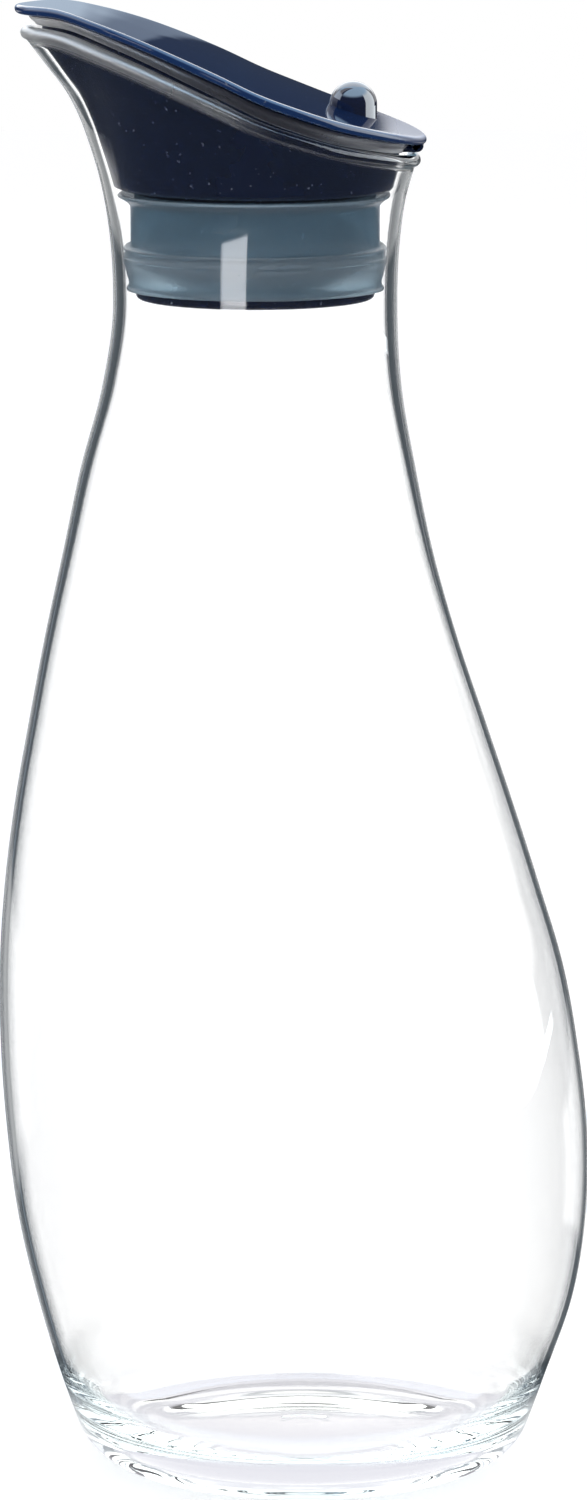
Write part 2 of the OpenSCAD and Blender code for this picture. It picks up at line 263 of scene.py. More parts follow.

# %% [markdown]
# One more helper turns finished skins into a Blender object. A piece may have several skins,
# as the stopper has, so it takes a list of them. Then it hangs the piece on the moving body on
# which it rides, and hides the CAD solid that it stands in for.

# %% From skins to a piece on its body
def make_piece(name, parts, body, node):
    """One object from several skins, in metres, riding on a body in place of a CAD node."""
    points, faces = [], []
    for part_points, part_faces in parts:
        faces += [tuple(len(points) + i for i in face) for face in part_faces]
        points += [tuple(MM * c for c in p) for p in part_points]
    mesh = bpy.data.meshes.new(name)
    mesh.from_pydata(points, [], faces)
    mesh.polygons.foreach_set("use_smooth", [True] * len(mesh.polygons))
    mesh.validate()
    piece = bpy.data.objects.new(name, mesh)
    bpy.context.scene.collection.objects.link(piece)
    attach(piece, body)
    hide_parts(node)
    print(f"{name}: {len(points)} points, {len(faces)} faces, in place of {node}")
    return piece


print("CAD solids that wait for a piece:", len(frame["nodes"]))

# %% [markdown]
# ## The glass body
#
# The real body is blown in one piece. Its skin is one walk: from the round mark in the middle
# of the base, over the shallow hollow, round the foot and the heel, up the side and the
# flare, over the fire-polished bead, and back down the inside to the floor. Making the wall
# really two-sided matters for glass, because the render bends each ray four times on its way
# through. A Solidify modifier could give the wall too, but it can't make the floor or the
# bead.

# %% Walk over the glass, outside up and inside down
PUNT_RINGS, HEEL_RINGS, SIDE_RINGS, HEAD_RINGS, BEAD_RINGS = 24, 20, 130, 60, 26


def body_ring(z):
    return circle_ring(body_r(z), z, body_x(z))


def head_ring(f, low, inset=0.0):
    """A ring a share f of the way from a low height up to the rim."""
    heights = [low + (joint_z(a) - low) * f for a in angles]
    return [at(a, flare_r(a, z) - inset, z, neck_x) for a, z in zip(angles, heights)]


bead_a, bead_b = (wall + bead_lip) / 2, bead_h / 2


def bead_ring(turn):
    """A ring on the rim's bead: turn 0 is its outermost line and 90 degrees its top."""
    return [at(a, rim_r(a) + bead_lip - bead_a + bead_a * math.cos(turn),
               top_z(a) - bead_b + bead_b * math.sin(turn), neck_x) for a in angles]


def spaced(count, low=0.0, high=1.0):
    """Evenly spaced values, both ends included."""
    return [low + (high - low) * k / count for k in range(count + 1)]


punt_shares = [1.0, 0.98, 0.82, 0.4, 0.0]
punt_r = foot_r - foot_ring_w
punt = [circle_ring(gate_r + (punt_r - gate_r) * f,
                    punt_h * curve(punt_shares, f, False, False), foot_x)
        for f in spaced(PUNT_RINGS)]
heel = [body_ring(heel_h * (1 - math.cos(t))) for t in spaced(HEEL_RINGS, 0, math.pi / 2)]
side = [body_ring(z) for z in spaced(SIDE_RINGS, heel_h, neck_z)[1:]]
head = [head_ring(f, neck_z) for f in spaced(HEAD_RINGS)[1:]]
bead_turn = math.radians(50)
bead = [bead_ring(t) for t in spaced(BEAD_RINGS, -bead_turn, math.pi)]
print(f"{len(punt + heel + side + head + bead)} rings up the outside")

# %% [markdown]
# The inside is the outside less the wall. Blown glass is never even: the wall is thickest at
# the neck and thins out as the bubble widens below it, so the wall is a function of height.
# At the bottom the inside widens into a round bowl and runs flat over the floor, and in the
# middle of the floor lies the shallow round print of the rod that held the glass. What shows
# most of a clear carafe are the thin lines of its wall at both edges, and the bright and grey
# crescents of its floor, so both are worth a few extra numbers.

# %% The inside of the glass, and the finished body
thin_wall, thin_z, thick_z, uneven = 1.3, 150.0, 228.0, 0.2
bowl_h_share, BOWL_RINGS = 1 / 13, 28
mark_r, mark_deep, mark_soft = 4.4, 0.35, 0.5


def wall_at(z):
    """The wall's thickness at a height below the neck."""
    return thin_wall + (wall - thin_wall) * ease(z, thin_z, thick_z)


def inner_x(z):
    """The bubble's own axis: the wall is a little thicker on the spout's side."""
    return body_x(z) + uneven * (wall - wall_at(z)) / (wall - thin_wall)


def floor_dip(r):
    """How far the round print in the middle of the floor goes down."""
    return mark_deep * ease(r, mark_r + mark_soft, mark_r - mark_soft)


blend_z = floor_h + (neck_z - floor_h) * bowl_h_share
liner = [head_ring(1 - f, neck_z, wall) for f in spaced(HEAD_RINGS)[:-1]]
inside = [circle_ring(body_r(z) - wall_at(z), z, inner_x(z))
          for z in spaced(SIDE_RINGS, neck_z, blend_z)[:-1]]
spread = body_r(floor_h) - thin_wall - floor_r
bowl = []
for t in spaced(BOWL_RINGS, math.pi / 2, 0):
    z = floor_h + (blend_z - floor_h) * (1 - math.cos(t))
    bowl.append(circle_ring(body_r(z) - thin_wall - spread * (1 - math.sin(t)), z, inner_x(z)))
# The floor's rings stand close together over the print.
floor_shares = spaced(10, 0.94, 0.26) + spaced(16, 0.25, 0.02)
middle = [circle_ring(floor_r * f, floor_h - floor_dip(floor_r * f), inner_x(floor_h))
          for f in floor_shares]
glass_body = make_piece(
    "glass_body", [skin(punt + heel + side + head + bead + liner + inside + bowl + middle)],
    "vessel", "vessel")

# %% [markdown]
# ## The stopper
#
# A navy moulding closes the neck. What shows is its flared collar, which follows the glass a
# millimetre inside it, and the short tube under it. The collar is a looped skin, because it
# is a hollow ring: its lower edge is rounded, its top meets the lid, and its pouring channel
# runs down the middle. The real moulding has no sharp edges, so the top edges are rounded as
# well, which gives them the thin highlights that plastic shows.

# %% The collar's skin
collar_z, collar_gap, collar_wall, collar_round = 254.4, 1.0, 2.0, 1.2
tube_r, tube_z, tube_round = 23.4, 233.0, 1.0
lid_gap, seal_gap = 0.3, 0.3
core_in = wall + collar_gap
tube_in_r = tube_r - collar_wall
top_round = 0.35
COLLAR_RINGS, CHANNEL_RINGS = 50, 40


def core_ring(inset, drop):
    """A ring on the collar's top, where it comes up under the lid."""
    ring = []
    for a in angles:
        x, y, _ = at(a, rim_r(a) - inset, 0, neck_x)
        ring.append((x, y, under_z(x) - lid_gap - drop))
    return ring


low = collar_z + collar_round
shelf_z = collar_z + collar_wall
shelf_r = (tube_r + tube_in_r) / 2
edge = []
for t in spaced(8, 0, math.pi / 2)[:-1]:
    edge.append([at(a, flare_r(a, low) - core_in - collar_round * (1 - math.sin(t)),
                    low - collar_round * math.cos(t), neck_x) for a in angles])
collar_outside = [head_ring(f, low, core_in) for f in spaced(COLLAR_RINGS)]
collar_top = [core_ring(core_in + top_round * (1 - math.cos(t)), top_round * (1 - math.sin(t)))
              for t in spaced(5, 0, math.pi / 2)]
collar_top += [core_ring(core_in + collar_wall - top_round * (1 - math.cos(t)),
                         top_round * (1 - math.sin(t))) for t in spaced(5, math.pi / 2, 0)]
collar_inside = [head_ring(1 - f, shelf_z, core_in + collar_wall)
                 for f in spaced(CHANNEL_RINGS)]
shelf = [circle_ring(shelf_r, shelf_z, neck_x), circle_ring(shelf_r, collar_z, neck_x)]
collar_skin = skin(edge + collar_outside + collar_top + collar_inside + shelf, loop=True)
print(f"collar from z {collar_z:.1f} to {max(p[2] for p in collar_skin[0]):.1f} mm")

# %% [markdown]
# The tube is a plain turned ring with a rounded lower edge. Two small ears stand at the back
# and hold the hinge pin. Each ear is a short barrel on the hinge's axis, with a block that
# ties it to the collar. All three go into one object with the collar, because on the real
# stopper they are one moulding.

# %% The tube, the ears and the finished stopper
def lathe(profile):
    """A looped skin turned round the neck's axis from (radius, height) pairs."""
    return skin([circle_ring(r, z, neck_x) for r, z in profile], loop=True)


barrel_r, hinge_drop, lid_over, hinge_inset = 1.2, 0.4, 1.1, 1.9
knuckle_w, ear_w, ear_gap = 6.0, 3.0, 0.2
hinge_x = back_x + lid_over - hinge_inset
hinge_z = under_z(hinge_x) - hinge_drop


def barrel(low_y, high_y, r=barrel_r, edge_round=0.2, points=48):
    """A short cylinder on the hinge axis with softened end edges."""
    rings = []
    stops = [(low_y + edge_round * (1 - math.cos(t)), r - edge_round * (1 - math.sin(t)))
             for t in spaced(4, 0, math.pi / 2)]
    stops += [(high_y - edge_round * (1 - math.cos(t)), r - edge_round * (1 - math.sin(t)))
              for t in spaced(4, math.pi / 2, 0)]
    for y, ring_r in stops:
        rings.append([(hinge_x + ring_r * math.cos(2 * math.pi * k / points), y,
                       hinge_z - ring_r * math.sin(2 * math.pi * k / points))
                      for k in range(points)])
    return skin(rings)


def ear_web(low_y, high_y):
    """The block that ties an ear to the collar."""
    back = hinge_x - (neck_x + rim_back_r - core_in - collar_wall / 2)
    corners = [(hinge_x - back, hinge_z - barrel_r), (hinge_x, hinge_z - barrel_r),
               (hinge_x, hinge_z), (hinge_x - back, hinge_z)]
    points = [(x, y, z) for y in (low_y, high_y) for x, z in corners]
    faces = [(0, 1, 2, 3), (7, 6, 5, 4), (0, 4, 5, 1), (1, 5, 6, 2), (2, 6, 7, 3), (3, 7, 4, 0)]
    return points, faces


tube_turns = spaced(8, 0, math.pi / 2)
tube_profile = [(tube_r - tube_round * (1 - math.sin(t)), tube_z + tube_round * (1 - math.cos(t)))
                for t in tube_turns]
tube_top_z, tube_bevel = collar_z + collar_wall * 0.8, 0.3
tube_profile += [(tube_r, tube_top_z), (tube_in_r, tube_top_z),
                 (tube_in_r, tube_z + tube_bevel), (tube_in_r + tube_bevel, tube_z)]
ear_y = knuckle_w / 2 + ear_gap + ear_w / 2
ear_spans = [(hand * ear_y - ear_w / 2, hand * ear_y + ear_w / 2) for hand in (-1, 1)]
stopper_parts = [collar_skin, lathe(tube_profile)]
stopper_parts += [barrel(*span) for span in ear_spans] + [ear_web(*span) for span in ear_spans]
stopper = make_piece("pouring_stopper", stopper_parts, "stopper", "stopper")
print(f"hinge axis at x {hinge_x:.1f}, z {hinge_z:.1f} mm")

# %% [markdown]
# ## The neck gasket
#
# A sleeve of milky blue silicone hugs the tube. It has a thin lip at the top, a fat sealing
# bead that presses on the glass, and a small lip under the bead. It is turned round the
# neck's axis, so a profile of radius and height is all that it needs. Soft rubber is rounded
# everywhere, so each lip ends in a half circle. The sealing bead has a groove near its top,
# between two ridges that do the sealing.

# %% The gasket's profile
sleeve_t, ring_r, ring_low_z, ring_top_z = 0.9, 25.5, 236.0, 243.4
lip_z, lip_t, lip_r, foot_lip_t, foot_lip_in = 252.6, 1.1, 26.45, 1.1, 0.6
tube_play, press = 0.05, 0.22
gasket_in_r = tube_r + tube_play


def half_round(r, low_z, high_z, steps=12):
    """The outer end of a lip, from its lower edge round to its upper edge."""
    half = (high_z - low_z) / 2
    return [(r - half + half * math.cos(t), (low_z + high_z) / 2 + half * math.sin(t))
            for t in spaced(steps, -math.pi / 2, math.pi / 2)]


sleeve_r = gasket_in_r + sleeve_t
foot_low = ring_low_z - foot_lip_t
foot_lip_reach, foot_lip_round = 0.3, 0.7
touch_r = ring_r + press
# How far inside the sealing bead's widest line, and how high over its underside.
bead_flank = [(1.0, 0.35), (0.9, 0.9), (0.55, 2.2), (0.25, 3.6), (0.05, 4.6)]
ridge_low, ridge_high, groove_deep, groove_z, brim_t = 4.9, 5.5, 0.16, 6.1, 0.7
sleeve_root, brim_drop, brim_rise = 0.4, 0.15, 0.25
lip_root, lip_root_low, lip_root_high, lip_edge = 0.5, 1.4, 0.7, 0.35

profile = [(gasket_in_r, foot_low)]
profile += half_round(ring_r - foot_lip_in + foot_lip_reach, foot_low, foot_low + foot_lip_round)
profile += [(touch_r - inset, ring_low_z + up) for inset, up in bead_flank]
profile += half_round(touch_r, ring_low_z + ridge_low, ring_low_z + ridge_high, 6)
profile += [(touch_r - groove_deep, ring_low_z + groove_z)]
profile += half_round(touch_r, ring_top_z - brim_t, ring_top_z, 6)
profile += [(sleeve_r + sleeve_root, ring_top_z - brim_drop),
            (sleeve_r, ring_top_z + brim_rise),
            (sleeve_r, lip_z - lip_root_low), (sleeve_r + lip_root, lip_z - lip_root_high)]
profile += half_round(lip_r, lip_z + lip_edge, lip_z + lip_t)
profile += [(gasket_in_r, lip_z + lip_t)]
gasket = make_piece("silicone_gasket", [lathe(profile)], "stopper", "neck_gasket")

# %% [markdown]
# ## The rim seal
#
# Between the glass rim and the lid lies a second silicone ring. It leans outwards as it
# rises, so that the lid presses it down onto the glass bead. It follows the slanting rim, so
# it is a looped skin of rings that share the rim's plan. At the back it stops short of the
# hinge on both sides, as the real one has to.

# %% The seal's rings and the finished seal
hinge_half_w = knuckle_w / 2 + ear_gap + ear_w
seal_cut_y = hinge_half_w + lid_gap
seal_in = core_in - 0.05
seal_low = bead_a + seal_gap / 2
seal_high = seal_low / 4


def seal_point(a, inset, f):
    x, y, _ = at(a, rim_r(a) - inset, 0, neck_x)
    low_z, high_z = top_z(a) + seal_gap, under_z(x) - lid_gap
    return (x, y, low_z + (high_z - low_z) * f)


# Insets from the rim's outer wall, each with a share of the height between glass and lid.
seal_section = [(seal_in, 0.0), (seal_low + 0.15, 0.0), (seal_low, 0.08), (seal_low * 0.86, 0.25),
                (seal_low * 0.62, 0.45), (seal_high + 0.28, 0.66), (seal_high + 0.06, 0.82),
                (seal_high, 0.9), (seal_high + 0.08, 0.97), (seal_high + 0.25, 1.0),
                (seal_in, 1.0)]
seal_start = math.asin(seal_cut_y / (rim_back_r - seal_in))
SEAL_STEPS = 240
seal_angles = spaced(SEAL_STEPS, seal_start, 2 * math.pi - seal_start)
sections = [[seal_point(a, inset, f) for inset, f in seal_section] for a in seal_angles]
rim_seal = make_piece("silicone_rim_seal", [skin(sections)], "stopper", "rim_seal")

# %% [markdown]
# ## The lid
#
# The lid is a thin plate of the same drop-shaped plan as the rim, a millimetre wider all
# round, and bent along the slanting line. Its edge is fully rounded. The plate is an open
# skin: rings from the middle of the underside out to the edge, round it, and back over the
# top. A knuckle under its back edge turns on the hinge pin.

# %% The lid's plate
lid_t, lid_crown = 1.8, 0.75
lid_round = lid_t / 2
crown_x, crown_run = spout_x + 8, 34


def crown_at(x):
    """The plate is a little thicker in its middle, but not out on the spout."""
    return lid_crown * ease(x, crown_x, crown_x + crown_run)


def lid_ring(inset, rise, share=1.0):
    """A ring of the plate, a share of the way from its middle out to its edge."""
    ring = []
    for a in angles:
        x, y, _ = at(a, share * (rim_r(a) + bead_lip + lid_over - inset), 0, neck_x)
        crown = crown_at(x) * (1 - share ** 2) if rise > lid_round else 0
        ring.append((x, y, under_z(x) + rise + crown))
    return ring


PLATE_RINGS, EDGE_RINGS = 46, 16
shares = spaced(PLATE_RINGS, 0.01)[:-1]
plate = [lid_ring(lid_round, 0, f) for f in shares]
plate += [lid_ring(lid_round * (1 - math.cos(t)), lid_round * (1 + math.sin(t)))
          for t in spaced(EDGE_RINGS, -math.pi / 2, math.pi / 2)]
plate += [lid_ring(lid_round, lid_t, f) for f in reversed(shares)]
lid = make_piece("flip_lid", [skin(plate), barrel(-knuckle_w / 2, knuckle_w / 2)],
                 "lid", "lid")

# %% [markdown]
# The stopper's two ears stand beside the knuckle and reach up into the plate, so the real lid
# has a shallow pocket over each of them. Cutting a round hollow into a finished skin by hand
# would mean new faces all round it. A Boolean modifier works them out for us: its cutter is a
# barrel a little larger than the ear, and we keep the evaluated mesh.

# %% Pockets for the two ears
def carve(piece, cutter_skin):
    """Cuts a skin out of a piece with a Boolean, and keeps the result as its mesh."""
    mesh = bpy.data.meshes.new("cutter")
    points, faces = cutter_skin
    mesh.from_pydata([tuple(MM * c for c in p) for p in points], [], faces)
    cutter = bpy.data.objects.new("cutter", mesh)
    bpy.context.scene.collection.objects.link(cutter)
    cut = piece.modifiers.new("pocket", "BOOLEAN")
    cut.operation, cut.solver, cut.object = "DIFFERENCE", "EXACT", cutter
    graph = bpy.context.evaluated_depsgraph_get()
    carved = bpy.data.meshes.new_from_object(piece.evaluated_get(graph))
    piece.modifiers.clear()
    piece.data = carved
    bpy.data.objects.remove(cutter)


pocket_round = 0.05
for low_y, high_y in ear_spans:
    carve(lid, barrel(low_y - ear_gap, high_y + ear_gap, barrel_r + lid_gap, pocket_round))
lid.data.set_sharp_from_angle(angle=math.radians(35))
print(f"lid has {len(lid.data.polygons)} faces after the two pockets")

# %% [markdown]
# ## The thumb knob
#
# A small bright knob stands on the lid, and the thumb pulls it back to flip the lid. It is a
# very short post under a dome. Its rings start just under the lid's own surface, which slopes
# here, and turn level towards the dome. The dome is a little flatter than a half sphere, so
# its height has a number of its own.

# %% The knob's rings
knob_r, knob_h, knob_back = 4.65, 6.4, 12.4
knob_x = hinge_x - knob_back
knob_seat = under_z(knob_x) + lid_t


def knob_ring(r, z_over_seat, follow):
    """A ring of the knob. At follow 1 it lies along the lid's slope, at 0 it is level."""
    ring = []
    for a in angles:
        x, y, _ = at(a, r, 0, knob_x)
        slope = under_z(x) + lid_t - knob_seat
        ring.append((x, y, knob_seat + z_over_seat + slope * follow))
    return ring


dome_h, knob_sunk, knob_core_r = 4.6, 0.6, 0.3
POST_RINGS, DOME_RINGS = 12, 24
post_h = knob_h - dome_h
dome_end = math.radians(88.65)
knob_rings = [knob_ring(knob_core_r, -knob_sunk, 1), knob_ring(knob_r, -knob_sunk, 1)]
knob_rings += [knob_ring(knob_r, post_h * f, 1 - f) for f in spaced(POST_RINGS)]
knob_rings += [knob_ring(knob_r * math.cos(t), post_h + dome_h * math.sin(t), 0)
               for t in spaced(DOME_RINGS, 0, dome_end)[1:]]
knob = make_piece("flip_knob", [skin(knob_rings)], "lid", "thumb_knob")
print(f"knob top at {knob_seat + knob_h:.1f} mm")

# %% [markdown]
# ## Materials
#
# Blender describes a finish with nodes. One helper makes a material with one Principled
# shader, a second one adds a node and sets its sockets, and three more do a step of
# arithmetic, a soft threshold and a mix of two colours, so the recipes below stay short.

# %% Helpers for node trees
def new_material(name):
    """A material with its Principled shader and its output."""
    material = bpy.data.materials.new(name)
    material.use_nodes = True
    nodes = material.node_tree.nodes
    return material, nodes["Principled BSDF"], nodes["Material Output"]


def add(owner, kind, inputs=None, **settings):
    """A node in the owner's tree. A value is set on its socket, a socket is linked to it."""
    tree = owner.node_tree
    node = tree.nodes.new("ShaderNode" + kind)
    for key, value in settings.items():
        setattr(node, key, value)
    for key, value in (inputs or {}).items():
        if isinstance(value, bpy.types.NodeSocket):
            tree.links.new(value, node.inputs[key])
        else:
            node.inputs[key].default_value = value
    return node


def calc(operation, a, b=0.0, owner=None):
    """One step of arithmetic in a node tree: the world's, if no other is named."""
    return add(owner or world, "Math", {0: a, 1: b}, operation=operation).outputs[0]


def smooth_step(value, low, high, owner=None):
    return add(owner or world, "MapRange", {"Value": value, "From Min": low, "From Max": high},
               interpolation_type="SMOOTHSTEP").outputs["Result"]


def colour_mix(fac, a, b, owner=None):
    return add(owner or world, "Mix", {0: fac, 6: a, 7: b}, data_type="RGBA").outputs[2]


def dress(piece, material):
    piece.data.materials.clear()
    piece.data.materials.append(material)


print("materials so far:", len(bpy.data.materials))

# %% [markdown]
# ### Clear glass
#
# Carafe glass is nearly colourless, with a faint blue-green in a thick place, so the colour
# goes into a light absorption inside the glass and not onto its surface. A blown wall is
# never quite even: a very weak, very broad bump lets the reflections swim a little. A path
# tracer finds hardly any light behind glass and would leave its shadow black, so a shadow ray
# sees the glass as tinted and clear.

# %% Glass
glass, glass_shader, glass_out = new_material("carafe_glass")
glass_shader.inputs["Base Color"].default_value = (1, 1, 1, 1)
glass_shader.inputs["Transmission Weight"].default_value = 1
glass_shader.inputs["IOR"].default_value = 1.47
place = add(glass, "TexCoord").outputs["Object"]
swim = add(glass, "TexNoise", {"Vector": place, "Scale": 14, "Detail": 1})
wave = add(glass, "Bump", {"Height": swim.outputs["Fac"], "Strength": 0.02, "Distance": 0.001})
glass.node_tree.links.new(wave.outputs["Normal"], glass_shader.inputs["Normal"])
clear = add(glass, "BsdfTransparent", {"Color": (0.93, 0.95, 0.96, 1)})
path = add(glass, "LightPath")
mixed = add(glass, "MixShader", {0: path.outputs["Is Shadow Ray"],
                                 1: glass_shader.outputs["BSDF"], 2: clear.outputs["BSDF"]})
glass.node_tree.links.new(mixed.outputs["Shader"], glass_out.inputs["Surface"])
tint = add(glass, "VolumeAbsorption", {"Color": (0.85, 0.92, 0.96, 1), "Density": 18})
glass.node_tree.links.new(tint.outputs["Volume"], glass_out.inputs["Volume"])
dress(glass_body, glass)
print("glass with index", glass_shader.inputs["IOR"].default_value)

# %% [markdown]
# The bead round the rim is less clear than the wall. It was melted round in a flame, and out
# on the spout it looks milky. We could cut the mesh in two and give the bead a material of its
# own, but then the glass would have a seam. Instead the material finds the bead by itself: a
# Float Curve node holds the rim's slanting line, and whatever lies less than a bead's height
# under that line is the bead. There the surface gets rough, and under the spout it also gets a
# dull coat that catches the light from above.

# %% The milky bead
RIM_POINTS = 12
bead_satin, spout_satin = 0.08, 0.24
bead_fade_low, bead_fade_high = bead_h - 0.1, bead_h + 0.9
milk_start_x, milk_full_x = neck_x + 6, neck_x - 24

spot = add(glass, "SeparateXYZ", {"Vector": place})
along = add(glass, "MapRange", {"Value": spot.outputs["X"], "From Min": spout_x * MM,
                                "From Max": back_x * MM})
rim_line = add(glass, "FloatCurve", {"Value": along.outputs["Result"]})
rim_points = rim_line.mapping.curves[0].points
for share in spaced(RIM_POINTS)[1:-1]:
    rim_points.new(share, 0)
for point, share in zip(rim_points, spaced(RIM_POINTS)):
    point.location = (share, rim_z(spout_x + (back_x - spout_x) * share) / rim_spout_z)
rim_line.mapping.update()
line_z = calc("MULTIPLY", rim_line.outputs["Value"], rim_spout_z * MM, glass)
below_rim = calc("SUBTRACT", line_z, spot.outputs["Z"], glass)
on_bead = smooth_step(below_rim, bead_fade_high * MM, bead_fade_low * MM, glass)
on_spout = smooth_step(spot.outputs["X"], milk_start_x * MM, milk_full_x * MM, glass)
milky_bead = calc("MULTIPLY", on_bead, on_spout, glass)
satin = calc("ADD", calc("MULTIPLY", milky_bead, spout_satin, glass),
             calc("MULTIPLY", on_bead, bead_satin, glass), glass)
glass.node_tree.links.new(satin, glass_shader.inputs["Roughness"])
glass.node_tree.links.new(milky_bead, glass_shader.inputs["Coat Weight"])
glass_shader.inputs["Coat IOR"].default_value = 3.0
glass_shader.inputs["Coat Roughness"].default_value = 0.45
print(f"bead found with a curve of {len(rim_points)} points")

# %% [markdown]
# ### Navy plastic
#
# The stopper, the lid and the knob are one glossy plastic of a very dark blue. At this gloss
# most of what we see is reflection, and the colour is only in what is left. Real moulded
# plastic carries a few dust specks and a slight waviness. The specks come from a noise that
# only lets its rare peaks through, and the waviness from a broad, weak bump. Two things belong
# to the lid alone. Its rounded edge gets a painted highlight: a brighter blue is painted into
# its colour where the edge catches the light, and the material finds that edge by how far the
# surface tips over. And its tail, which every thumb rubs, has lost a little gloss.

# %% Plastic, in a version for each moulding
# The second colour is a painted highlight: the brighter blue on the lid's rounded edge.
DUST_COLOUR, PAINTED_EDGE_LIGHT_BLUE = (0.25, 0.28, 0.33, 1), (0.008, 0.05, 0.15, 1)
tail_start_x, tail_full_x = 13, 21


def painted_light_edge_share(material, coords):
    """Where the painted edge highlight goes: 1 where a rounded edge has tipped half over, and 0 on
    flat and on upright faces.
    """
    up = add(material, "SeparateXYZ", {"Vector": coords.outputs["Normal"]}).outputs["Z"]
    return calc("MULTIPLY", smooth_step(up, 0.35, 0.62, material),
                smooth_step(up, 0.93, 0.8, material), material)


def navy_plastic(name, colour, roughness, speck, wave_strength, ior=1.5, painted_edge_light=0.0,
                 tail_satin=0.0):
    material, shader, _ = new_material(name)
    coords = add(material, "TexCoord")
    place = coords.outputs["Object"]
    dust = add(material, "TexNoise", {"Vector": place, "Scale": 900, "Detail": 2})
    rare = add(material, "MapRange", {"Value": dust.outputs["Fac"], "From Min": 0.7,
                                      "From Max": 0.78, "To Max": speck})
    pigment = add(material, "TexNoise", {"Vector": place, "Scale": 60, "Detail": 3})
    lighter = (*[c * 1.35 for c in colour], 1)
    shade = colour_mix(pigment.outputs["Fac"], (*colour, 1), lighter, material)
    dusty = colour_mix(rare.outputs["Result"], shade, DUST_COLOUR, material)
    # Painted highlight: the rounded edge is made a brighter blue where it catches the light.
    painted_edge_light_share = calc("MULTIPLY", painted_light_edge_share(material, coords), painted_edge_light, material)
    with_painted_edge_light = colour_mix(painted_edge_light_share, dusty, PAINTED_EDGE_LIGHT_BLUE, material)
    rough = add(material, "MapRange", {"Value": pigment.outputs["Fac"],
                                       "To Min": roughness, "To Max": roughness * 1.6})
    at_tail = smooth_step(add(material, "SeparateXYZ", {"Vector": place}).outputs["X"],
                          tail_start_x * MM, tail_full_x * MM, material)
    rough = calc("ADD", rough.outputs["Result"],
                 calc("MULTIPLY", at_tail, tail_satin, material), material)
    broad = add(material, "TexNoise", {"Vector": place, "Scale": 40, "Detail": 1})
    bump = add(material, "Bump", {"Height": broad.outputs["Fac"], "Strength": wave_strength,
                                  "Distance": 0.001})
    links = material.node_tree.links
    links.new(with_painted_edge_light, shader.inputs["Base Color"])
    links.new(rough, shader.inputs["Roughness"])
    links.new(bump.outputs["Normal"], shader.inputs["Normal"])
    shader.inputs["IOR"].default_value = ior
    return material


dress(stopper, navy_plastic("collar_plastic", (0.004, 0.008, 0.024), 0.05, 0.5, 0.06))
# Only the lid gets the painted highlight on its rounded edge.
dress(lid, navy_plastic("lid_plastic", (0.006, 0.02, 0.07), 0.025, 0.25, 0.02,
                        painted_edge_light=1.0, tail_satin=0.25))
dress(knob, navy_plastic("knob_plastic", (0.006, 0.01, 0.03), 0.02, 0.1, 0.0, ior=1.9))
print("navy plastic on the stopper, the lid and the knob")

# %% [markdown]
# ### Silicone
#
# Silicone lets light in and scatters it, so it looks milky. A full volume scatter would be
# slow and noisy behind glass, so most of the surface transmits through a rough interface and
# the rest is a soft diffuse. A fine grain breaks up its dull shine. The colour is painted
# outwards from the neck's axis. On the gasket it goes from bluish over the dark tube to pale
# on the thick bead, a pale that is partly the silicone's own and partly painted light for the
# white background that shines through it. The two seals differ in their colours and in how
# clear they are: the one under the lid gets a painted shade, nearly as dark as the navy behind
# it, and only turns pale out at the spout.

# %% Silicone, in a version for each seal
def silicone(name, inner_colour, outer_colour, inner_r, outer_r, clearness, roughness):
    """Milky rubber. Its colour goes from inner to outer with the distance from the neck's axis,
    and paints light and shade on the seals.
    """
    material, shader, _ = new_material(name)
    place = add(material, "TexCoord").outputs["Object"]
    flat = add(material, "VectorMath", {0: place, 1: (-neck_x * MM, 0, 0)})
    flat = add(material, "VectorMath", {0: flat.outputs[0], 1: (1, 1, 0)}, operation="MULTIPLY")
    out = add(material, "VectorMath", {0: flat.outputs[0]}, operation="LENGTH")
    # The colour's share from the neck's axis outwards. On the rim seal it runs from painted shade
    # to pale.
    depth = add(material, "MapRange", {"Value": out.outputs["Value"], "From Min": inner_r * MM,
                                       "From Max": outer_r * MM}).outputs["Result"]
    body = colour_mix(depth, (*inner_colour, 1), (*outer_colour, 1), material)
    cloud = add(material, "TexNoise", {"Vector": place, "Scale": 70, "Detail": 4})
    milk = add(material, "MapRange", {"Value": cloud.outputs["Fac"], "To Min": 0.82})
    milky = add(material, "Mix", {0: 1.0, 6: body, 7: milk.outputs["Result"]},
                data_type="RGBA", blend_type="MULTIPLY")
    grain = add(material, "TexNoise", {"Vector": place, "Scale": 2200, "Detail": 2})
    bump = add(material, "Bump", {"Height": grain.outputs["Fac"], "Strength": 0.08,
                                  "Distance": 0.0003})
    links = material.node_tree.links
    links.new(milky.outputs[2], shader.inputs["Base Color"])
    links.new(bump.outputs["Normal"], shader.inputs["Normal"])
    shader.inputs["Transmission Weight"].default_value = clearness
    shader.inputs["Roughness"].default_value = roughness
    shader.inputs["IOR"].default_value = 1.41
    return material


# The gasket's pale outer colour is partly painted light, for the white background through its
# bead.
dress(gasket, silicone("gasket_silicone", (0.34, 0.56, 0.74), (0.6, 0.74, 0.86),
                       sleeve_r + 0.1, ring_r, 0.86, 0.22))
# The rim seal's dark inner colour is painted shade, for the shade under the lid with the navy
# behind it.
dress(rim_seal, silicone("rim_silicone_milky_painted_shade", (0.07, 0.075, 0.13), (0.7, 0.66, 0.6),
                         rim_back_r + 5, rim_spout_r, 0.8, 0.34))
print("silicone on the gasket and the rim seal")

# %% [markdown]
# ### Steel
#
# The hinge pin is a plain turned steel wire, and its CAD solid is already the right shape, so
# it stays and only gets a finish: a metal with a brushed grain that runs round the pin.

